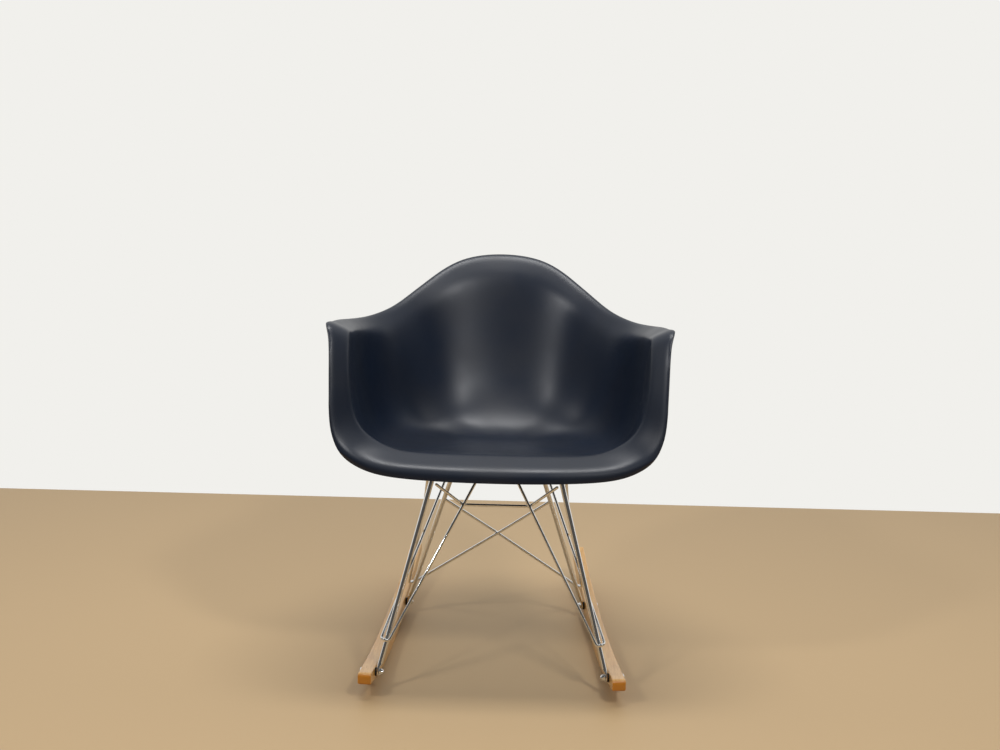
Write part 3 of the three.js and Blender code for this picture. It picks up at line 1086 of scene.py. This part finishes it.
@dataclass
class SeatMount:
    """A rubber mount and the flanged screw that holds the leg's paddle to the shell."""

    corner: Corner
    pad_radius: float = 0.016
    waist: float = 0.0012
    paddle: float = 0.005
    head_width: float = 0.0100  # across flats
    head_height: float = 0.004
    flange_radius: float = 0.0075
    flange_shoulder: float = 0.0062
    flange_height: float = 0.0014
    sunk: float = 0.001  # how far the hexagon starts inside the flange

    def build_pad(self) -> bpy.types.Object:
        """Makes the rubber mount, slightly waisted between its two rims."""
        low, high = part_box(f"shock_mount_{self.corner.tag}")
        height = high.z - low.z
        r = self.pad_radius
        profile = [
            (0.0, 0.0),
            (r, 0.0),
            (r, 0.22 * height),
            (r - self.waist, 0.35 * height),
            (r - self.waist, 0.65 * height),
            (r, 0.78 * height),
            (r, height),
            (0.0, height),
        ]
        shape = turned(profile, rounding=0.0009, steps=40)
        spot = Vector((self.corner.pad_middle.x, self.corner.pad_middle.y, low.z))
        bmesh.ops.translate(shape, verts=shape.verts, vec=spot)
        node = f"shock_mount_{self.corner.tag}"
        return make_piece(shape, f"rubber_mount_{self.corner.tag}", RUBBER, [node])

    def build_screw(self) -> bpy.types.Object:
        """Makes the flanged hexagon head that shows below the paddle."""
        under = self.corner.pad_base - GAP - self.paddle - GAP
        spot = Vector((self.corner.pad_middle.x, self.corner.pad_middle.y, under))
        profile = [
            (0.0, 0.0),
            (self.flange_radius, 0.0),
            (self.flange_shoulder, -self.flange_height),
            (0.0, -self.flange_height - 0.0001),
        ]
        flange = turned(profile, rounding=0.0003, steps=36)
        depth = self.head_height - self.sunk
        middle = Matrix.Translation((0.0, 0.0, -self.sunk - depth / 2))
        add_hexagon(flange, self.head_width, depth, middle, 2, caps_only=True)
        bmesh.ops.translate(flange, verts=flange.verts, vec=spot)
        node = f"mount_screw_{self.corner.tag}"
        piece = make_piece(flange, f"flanged_screw_{self.corner.tag}", ZINC, [node])
        piece.data.set_sharp_from_angle(angle=math.radians(40))
        return piece


# ---- rockers ----------------------------------------------------------------------------------


@dataclass
class Rocker:
    """One solid maple rocker: an arc below, a flatter arc above, all edges rounded."""

    side: Side
    width: float = ROCKER_WIDTH
    thickness: float = 0.035  # over the point of contact
    contact_y: float = -0.084
    bottom_front: float = 1.280  # radius of the underside ahead of the contact point
    bottom_rear: float = 1.730
    top_radius: float = 2.300
    nose_top: float = 0.009  # rounding of the ends' upper and lower corners
    nose_bottom: float = 0.004
    edge_round: float = 0.0028
    steps: int = 64

    def build(self) -> bpy.types.Object:
        """Makes the rocker as a bent strip, widened, with its ends and edges rounded."""
        node = f"rocker_{self.side.name.lower()}"
        low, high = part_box(node)
        inward = Corner(End.FRONT, self.side).inward
        along = Vector((0, 0, self.side.value)).cross(inward)
        if along.y < 0:
            along = -along
        front = (low.y - self.contact_y) / along.y
        rear = (high.y - self.contact_y) / along.y
        front += 0.5 * self.width * abs(along.x)
        rear -= 0.5 * self.width * abs(along.x)
        shape = bmesh.new()
        bmesh.ops.create_grid(shape, x_segments=self.steps, y_segments=1, size=0.5)
        for vert in shape.verts:
            s = front + (rear - front) * (vert.co.x + 0.5)
            radius = self.bottom_front if s < 0 else self.bottom_rear
            bottom = s * s / (2 * radius)
            top = self.thickness + s * s / (2 * self.top_radius)
            vert.co = Vector((s, top if vert.co.y > 0 else bottom, -self.width / 2))
        grown = bmesh.ops.extrude_face_region(shape, geom=shape.faces[:])["geom"]
        moved = [g for g in grown if isinstance(g, bmesh.types.BMVert)]
        bmesh.ops.translate(shape, verts=moved, vec=(0.0, 0.0, self.width))
        closed(shape)
        self.round_ends(shape, front, rear)
        rims = [e for e in shape.edges if e.calc_face_angle(0.0) > math.radians(60)]
        bmesh.ops.bevel(
            shape,
            geom=rims,
            offset=self.edge_round,
            segments=4,
            profile=0.5,
            affect="EDGES",
            material=-1,
            clamp_overlap=True,
        )
        foot = self.contact_point(along)
        across = along.cross(Vector((0, 0, 1)))
        bmesh.ops.transform(
            shape, verts=shape.verts, matrix=pose(foot, along, Vector((0, 0, 1)), across)
        )
        closed(shape)
        piece = make_piece(shape, f"maple_{node}", MAPLE, [node])
        add_modifier(piece, "WEIGHTED_NORMAL", keep_sharp=True, weight=80)
        return piece

    def contact_point(self, along: Vector) -> Vector:
        """Point below the rocker's middle line at the contact point.

        Args:
            along: direction of the rocker.

        Returns:
            The point, on the floor.
        """
        corner = Corner(End.FRONT, self.side)
        reach = self.width / 2 + GAP + SPACER / 2
        middle = corner.spacer_middle - corner.inward * reach
        run = (self.contact_y - middle.y) / along.y
        point = middle + along * run
        point.z = 0.0
        return point

    def round_ends(self, shape: bmesh.types.BMesh, front: float, rear: float) -> None:
        """Rounds the upper and lower corners of both ends.

        Args:
            shape: the squared rocker, along X with its height along Y.
            front: X of its front end.
            rear: X of its rear end.
        """
        for radius, upper in ((self.nose_top, True), (self.nose_bottom, False)):
            for end in (front, rear):
                corner = [
                    e
                    for e in shape.edges
                    if all(abs(v.co.x - end) < 1e-5 for v in e.verts)
                    and abs(e.verts[0].co.z - e.verts[1].co.z) > 0.5 * self.width
                ]
                corner.sort(key=lambda e: e.verts[0].co.y)
                picked = corner[-1] if upper else corner[0]
                bmesh.ops.bevel(
                    shape,
                    geom=[picked],
                    offset=radius,
                    segments=6,
                    profile=0.5,
                    affect="EDGES",
                    material=-1,
                    clamp_overlap=True,
                )


# ---- legs and their fixings -------------------------------------------------------------------


@dataclass
class Leg:
    """A chromed rod, pressed flat and drilled at the rocker and again under the seat."""

    corner: Corner
    radius: float = 0.00475
    tab_half: float = 0.008
    tab_depth: float = TAB
    tab_neck: float = 0.012  # height over which the flat turns back into a rod
    paddle_half: float = 0.011
    paddle_depth: float = 0.005
    knee_out: float = 0.009
    knee_back: float = 0.017
    spacer: float = SPACER
    ankle: float = 0.017  # from the bolt to where the rod is round
    tab_top: float = 0.006  # from the bolt to where the flat starts to narrow
    knee_bend: float = 0.008
    sides: int = 28

    @property
    def tab_middle(self) -> Vector:
        """Middle of the flattened end, on the bolt's axis."""
        reach = self.spacer / 2 + GAP + self.tab_depth / 2
        return self.corner.spacer_middle + self.corner.inward * reach

    @property
    def paddle_middle(self) -> Vector:
        """Middle of the upper flat, on the screw's axis."""
        height = self.corner.pad_base - GAP - self.paddle_depth / 2
        return Vector((self.corner.pad_middle.x, self.corner.pad_middle.y, height))

    @property
    def knee(self) -> Vector:
        """Where the straight rod would meet the level paddle."""
        sign = self.corner.side.value
        back = self.corner.end.value
        return self.paddle_middle + Vector((sign * self.knee_out, -back * self.knee_back, 0.0))

    @property
    def rise(self) -> Vector:
        """Direction of the straight rod, upwards."""
        return (self.knee - self.tab_middle).normalized()

    def at_height(self, height: float) -> Vector:
        """Point on the rod's axis at this height."""
        ankle = self.tab_middle + self.rise * self.ankle
        return ankle + self.rise * ((height - ankle.z) / self.rise.z)

    def build(self) -> bpy.types.Object:
        """Sweeps the leg from the drilled tab, up the rod and round into the paddle."""
        inward = self.corner.inward
        flat = inward.cross(self.rise).normalized()
        up = flat.cross(inward).normalized()
        half, thin = self.tab_half, self.tab_depth / 2
        tip = rounded_tip(Section(self.tab_middle, up, flat, half, thin, FLAT), -1)
        sections = [*reversed(tip), Section(self.tab_middle, up, flat, half, thin, FLAT)]
        middle = self.tab_middle + up * (self.tab_top / 2)
        sections.append(Section(middle, up, flat, half * 0.97, thin, FLAT))
        start = self.tab_middle + up * self.tab_top
        finish = self.tab_middle + self.rise * (self.tab_top + self.tab_neck)
        for step in range(9):
            ease = eased(step / 8)
            sections.append(
                Section(
                    start.lerp(finish, step / 8),
                    up.lerp(self.rise, ease).normalized(),
                    flat,
                    half * 0.9 + (self.radius - half * 0.9) * ease,
                    thin + (self.radius - thin) * ease,
                    FLAT - (FLAT - 2.0) * ease,
                )
            )
        sections += self.upper_sections(finish)
        node = f"leg_{self.corner.tag}"
        return make_chromed(swept(sections, self.sides), node)

    def upper_sections(self, start: Vector) -> list[Section]:
        """Sections of the straight rod, the knee and the paddle.

        Args:
            start: top of the neck.

        Returns:
            The sections in order.
        """
        paddle = self.paddle_middle
        reach = (paddle - self.knee).normalized()
        tip = paddle + reach * self.paddle_half
        side = reach.cross(Vector((0, 0, 1))).normalized()
        points = bent_path([start, self.knee, tip], self.knee_bend, 8)
        sections = []
        for before, point in zip(points, points[1:-1]):
            way = (point - before).normalized()
            sections.append(Section(point, way, side, self.radius, self.radius))
        bend_end = points[-2]
        reach_left = (paddle - bend_end).length
        thin = self.paddle_depth / 2
        for step in range(1, 8):
            ease = eased(step / 7)
            sections.append(
                Section(
                    bend_end + reach * (reach_left * step / 7),
                    reach,
                    side,
                    self.radius + (self.paddle_half - self.radius) * ease,
                    self.radius + (thin - self.radius) * ease,
                    2.0 + (FLAT - 2.0) * ease,
                )
            )
        end = Section(paddle, reach, side, self.paddle_half, thin, FLAT)
        return sections + rounded_tip(end, 1)


@dataclass
class FootFixing:
    """What holds a leg to its rocker: bolt, rubber spacer and domed nut."""

    corner: Corner
    rocker_width: float = ROCKER_WIDTH
    spacer: float = SPACER
    spacer_radius: float = 0.008
    tab_depth: float = TAB
    head_radius: float = 0.0075
    head_height: float = 0.0036
    nut_height: float = 0.009
    nut_flats: float = 0.0120
    nut_base: float = 0.0038  # height of its hexagon
    dome_radius: float = 0.0056
    dome_floor: float = 0.001  # where the dome is cut off inside the hexagon
    hole_radius: float = 0.0033
    shank_radius: float = 0.003
    socket_radius: float = 0.0024
    socket_depth: float = 0.0018

    def place(self, shape: bmesh.types.BMesh, reach: float, way: float = 1.0) -> None:
        """Moves a turned body onto the bolt's axis.

        Args:
            shape: the body, standing on Z = 0.
            reach: how far its base lies inwards from the middle of the spacer.
            way: 1 if it points inwards, -1 outwards.
        """
        inward = self.corner.inward
        spot = self.corner.spacer_middle + inward * reach
        bmesh.ops.transform(
            shape, verts=shape.verts, matrix=upright_pose(spot, inward * way)
        )

    def build_spacer(self) -> bpy.types.Object:
        """Makes the rubber washer between rocker and leg."""
        r = self.spacer_radius
        hole, top = self.hole_radius, self.spacer
        profile = [(hole, 0.0), (r, 0.0), (r, top), (hole, top), (hole, 0.0)]
        shape = turned(profile, rounding=0.0005)
        self.place(shape, -self.spacer / 2)
        node = f"spacer_{self.corner.tag}"
        return make_piece(shape, f"rubber_{node}", RUBBER, [node])

    def build_bolt(self) -> bpy.types.Object:
        """Makes the bolt's low round head with its socket, and the start of its shank."""
        h, r = self.head_height, self.head_radius
        profile = [
            (0.0, -0.001),
            (self.shank_radius, -0.001),
            (self.shank_radius, 0.0),
            (r, 0.0),
            (r - 0.0002, 0.0011),
            (r - 0.0015, 0.0025),
            (r - 0.0035, h),
            (self.socket_radius, h),
            (self.socket_radius, h - self.socket_depth),
            (0.0, h - self.socket_depth),
        ]
        shape = turned(profile, rounding=0.0003, steps=36)
        self.place(shape, -self.spacer / 2 - GAP - self.rocker_width - GAP, -1.0)
        return make_chromed(shape, f"rocker_bolt_{self.corner.tag}")

    def build_nut(self) -> bpy.types.Object:
        """Makes the domed nut: a low hexagon under a round dome."""
        shape = bmesh.new()
        middle = Matrix.Translation((0.0, 0.0, self.nut_base / 2))
        add_hexagon(shape, self.nut_flats, self.nut_base, middle, 3)
        dome = bmesh.ops.create_uvsphere(
            shape, u_segments=32, v_segments=20, radius=self.dome_radius
        )["verts"]
        rise = self.nut_height - self.dome_radius
        bmesh.ops.translate(shape, verts=dome, vec=(0.0, 0.0, rise))
        for vert in dome:
            vert.co.z = max(vert.co.z, self.dome_floor)
        reach = self.spacer / 2 + GAP + self.tab_depth + GAP
        self.place(shape, reach)
        piece = make_chromed(shape, f"domed_nut_{self.corner.tag}")
        piece.data.set_sharp_from_angle(angle=math.radians(50))
        return piece


# ---- wires ------------------------------------------------------------------------------------


@dataclass
class WireBracing:
    """The thin chromed wires that brace the legs, and the welds where they cross.

    Corners are laid out for the right side. Each wire stays a few millimetres off the axis of a leg
    that it goes round, so that its bend clears the rod.
    """

    radius: float = 0.00275
    sides: int = 16
    weld_radius: float = 0.0036
    knee_drop: float = 0.009  # how far below a leg's knee a wire starts
    hug_height: float = 0.099  # where the truss goes round the front leg
    truss_peak: tuple[float, float, float] = (0.031, -0.179, 0.384)
    dip_x: float = 0.063  # where the stretcher meets the truss
    dip_gap: float = 0.0018
    tie_height: float = 0.374  # where the stretcher starts on the front leg
    brace_low: float = 0.077  # where a brace goes round the rear leg
    brace_high: float = 0.272  # where it ends on the other rear leg
    brace_shoulder: tuple[float, float, float] = (0.134, -0.214, 0.331)
    truss_bend: float = 0.006
    stretcher_bend: float = 0.008
    brace_bend: float = 0.005

    def __post_init__(self) -> None:
        """Finds the right legs, from which every wire is laid out."""
        self.front = Leg(Corner(End.FRONT, Side.RIGHT))
        self.rear = Leg(Corner(End.REAR, Side.RIGHT))
        self.clear = self.front.radius + self.radius + GAP
        self.welds: list[Vector] = []

    def make(self, corners: Sequence[Vector], bend: float, node: str) -> bpy.types.Object:
        """Sweeps one wire.

        Args:
            corners: its corners in order.
            bend: radius of its bends.
            node: CAD node that it stands for.

        Returns:
            The new object.
        """
        sections = round_sections(bent_path(corners, bend), self.radius)
        return make_chromed(swept(sections, self.sides), node)

    def truss_corners(self) -> list[Vector]:
        """Right half of the front truss, from behind the rear knee to the middle."""
        knee = self.rear.knee
        hug = self.front.at_height(self.hug_height)
        clear = self.clear
        return [
            Vector((knee.x + clear + 0.0025, knee.y + 0.002, knee.z - self.knee_drop)),
            Vector((hug.x + clear + 0.0045, hug.y - 0.002, hug.z - 0.003)),
            Vector((hug.x - 0.0025, hug.y - clear - 0.0055, hug.z - 0.004)),
            Vector(self.truss_peak),
        ]

    def build_truss(self) -> bpy.types.Object:
        """Makes the long wire that goes round both front legs and up to the middle."""
        half = self.truss_corners()
        self.welds += [(half[1] + half[2]) / 2, opposite((half[1] + half[2]) / 2)]
        whole = half + [opposite(p) for p in reversed(half)]
        return self.make(whole, self.truss_bend, "front_truss_wire")

    def build_stretcher(self) -> bpy.types.Object:
        """Makes the wire that drops from each front leg and runs level between the strands."""
        outer, inner = self.truss_corners()[2:4]
        strand = outer.lerp(inner, (self.dip_x - outer.x) / (inner.x - outer.x))
        dip = strand + Vector((0.0, 2 * self.radius + self.dip_gap, 0.0))
        tie = self.front.at_height(self.tie_height)
        half = [Vector((tie.x - self.clear - 0.0006, tie.y + 0.0015, tie.z)), dip]
        weld = (strand + dip) / 2
        self.welds += [weld, opposite(weld)]
        whole = half + [opposite(p) for p in reversed(half)]
        return self.make(whole, self.stretcher_bend, "front_stretcher_wire")

    def build_braces(self) -> list[bpy.types.Object]:
        """Makes the two crossing rear wires, each hooked round a rear leg.

        Returns:
            The two wires.
        """
        low = self.rear.at_height(self.brace_low)
        high = self.rear.at_height(self.brace_high)
        knee = self.front.knee
        clear = self.clear
        start = Vector((low.x - 0.001, low.y + clear + 0.006, low.z - 0.003))
        finish = Vector((0.001 - high.x, high.y + clear + 0.0006, high.z))
        crossing = start.lerp(finish, start.x / (start.x - finish.x))
        run = Vector((0.0, finish.y - start.y, finish.z - start.z)).normalized()
        self.welds.append(crossing)
        made = []
        for side in Side:
            offset = Vector((0.0, run.z, -run.y)) * side.value * (self.radius + GAP / 2)
            corners = [
                knee + Vector((0.0, 0.011, -self.knee_drop)),
                knee + Vector((0.013, 0.004, -self.knee_drop)),
                Vector(self.brace_shoulder),
                Vector((low.x + clear + 0.005, low.y + 0.003, low.z - 0.003)),
                start,
                crossing + offset,
                finish,
            ]
            if side is Side.LEFT:
                corners = [opposite(p) for p in corners]
            node = f"rear_brace_wire_{side.name.lower()}"
            made.append(self.make(corners, self.brace_bend, node))
        return made

    def build_welds(self) -> bpy.types.Object:
        """Makes the small plated fillets of weld where wires touch."""
        shape = bmesh.new()
        for spot in self.welds:
            bmesh.ops.create_icosphere(
                shape, subdivisions=3, radius=self.weld_radius, matrix=Matrix.Translation(spot)
            )
        return make_piece(shape, "wire_welds", CHROME, [])


# ---- studio -----------------------------------------------------------------------------------


@dataclass(frozen=True)
class Softbox:
    """A soft rectangular lamp.

    Attributes:
        name: its name.
        at: where it hangs.
        aim: the point it faces.
        width: its width.
        height: its height.
        power: in watts.
        colour: its light's colour as sRGB hex.
    """

    name: str
    at: tuple[float, float, float]
    aim: tuple[float, float, float]
    width: float
    height: float
    power: float
    colour: str = "ffffff"

    def build(self) -> None:
        """Hangs the lamp."""
        lamp = bpy.data.lights.new(self.name, "AREA")
        lamp.shape = "RECTANGLE"
        lamp.size = self.width
        lamp.size_y = self.height
        lamp.energy = self.power
        lamp.color = linear(self.colour)[:3]
        holder = show(self.name, lamp)
        holder.location = self.at
        way = Vector(self.aim) - Vector(self.at)
        holder.rotation_euler = way.to_track_quat("-Z", "Y").to_euler()


@dataclass
class Studio:
    """Plain pale floor, a bright screen behind the chair, a dim room and soft lamps."""

    backdrop: str = "f1f0ec"  # behind the chair
    room: str = "55524e"  # in front of it
    reach: float = 30.0  # half the width of the floor and of the screen
    screen_y: float = 1.0
    screen_foot: float = 0.001  # how far the screen's lower edge is sunk in the floor
    lamps: tuple[Softbox, ...] = (
        Softbox("ceiling", (0.0, -0.25, 3.0), (0.0, 0.0, 0.4), 1.3, 0.6, 38.0),
        Softbox("front_right", (1.15, -2.2, 2.7), (0.0, 0.1, 0.5), 0.35, 0.35, 30.0),
        Softbox("front_left", (-2.0, -2.0, 2.6), (0.0, 0.1, 0.5), 0.3, 0.3, 24.0),
    )

    def sheet(self, name: str, matrix: Matrix, finish: Finish) -> None:
        """Sets up one plain square sheet.

        Args:
            name: its name.
            matrix: where its middle lies and how it is turned.
            finish: what it is made of.
        """
        shape = bmesh.new()
        bmesh.ops.create_grid(
            shape, x_segments=1, y_segments=1, size=self.reach, matrix=matrix
        )
        mesh = bpy.data.meshes.new(name)
        shape.to_mesh(mesh)
        shape.free()
        mesh.materials.append(finish.material())
        show(name, mesh)

    def build(self) -> None:
        """Lays the floor, puts up the screen, sets the surround and hangs the lamps."""
        self.sheet("floor", Matrix.Identity(4), StudioFloor())
        upright = Matrix.Rotation(math.radians(90), 4, "X")
        behind = Matrix.Translation((0.0, self.screen_y, self.reach - self.screen_foot))
        self.sheet("screen", behind @ upright, BacklitScreen())
        world = bpy.data.worlds.new("surround")
        world.use_nodes = True
        tree = world.node_tree
        way = add_node(tree, "ShaderNodeTexCoord").outputs["Generated"]
        split = add_node(tree, "ShaderNodeSeparateXYZ", inputs={"Vector": way})
        shade = ramp(
            tree,
            split.outputs["Y"],
            [(0.0, linear(self.room)), (0.5, linear(self.backdrop))],
        )
        tree.links.new(shade, tree.nodes["Background"].inputs["Color"])
        bpy.context.scene.world = world
        bpy.context.scene.view_settings.view_transform = "Standard"
        for lamp in self.lamps:
            lamp.build()


@dataclass
class Viewpoint:
    """The camera: eye height of someone who stands in front of the chair."""

    at: tuple[float, float, float] = (0.0186, -2.924, 1.100)
    pitch: float = 10.87  # degrees below level
    yaw: float = 0.37
    roll: float = 1.35
    lens: float = 54.0
    sensor: float = 36.0

    def build(self) -> None:
        """Sets up the scene's camera."""
        pitch, yaw, roll = (math.radians(a) for a in (self.pitch, self.yaw, self.roll))
        ahead = Vector(
            (-math.sin(yaw) * math.cos(pitch), math.cos(yaw) * math.cos(pitch), -math.sin(pitch))
        )
        level = ahead.cross(Vector((0, 0, 1))).normalized()
        above = level.cross(ahead)
        right = level * math.cos(roll) + above * math.sin(roll)
        up = above * math.cos(roll) - level * math.sin(roll)
        eye = bpy.data.cameras.new("eye")
        eye.lens = self.lens
        eye.sensor_width = self.sensor
        holder = show("eye", eye)
        holder.matrix_world = pose(Vector(self.at), right, up, -ahead)
        bpy.context.scene.camera = holder


def main() -> None:
    """Builds the chair, the studio and the camera."""
    logging.basicConfig(level=logging.INFO, format="%(name)s: %(message)s")
    shell = SeatShell()
    builders: list[Callable[[], object]] = [shell.build]
    for side in Side:
        builders.append(Rocker(side).build)
    for corner in CORNERS:
        mount, fixing = SeatMount(corner), FootFixing(corner)
        builders += [mount.build_pad, mount.build_screw, Leg(corner).build]
        builders += [fixing.build_spacer, fixing.build_bolt, fixing.build_nut]
    bracing = WireBracing()
    builders += [bracing.build_truss, bracing.build_stretcher, bracing.build_braces]
    builders += [bracing.build_welds, Studio().build, Viewpoint().build]
    for build in builders:
        build()
    for corner in CORNERS:
        shell.build_boss(corner)


if __name__ == "__main__":
    main()
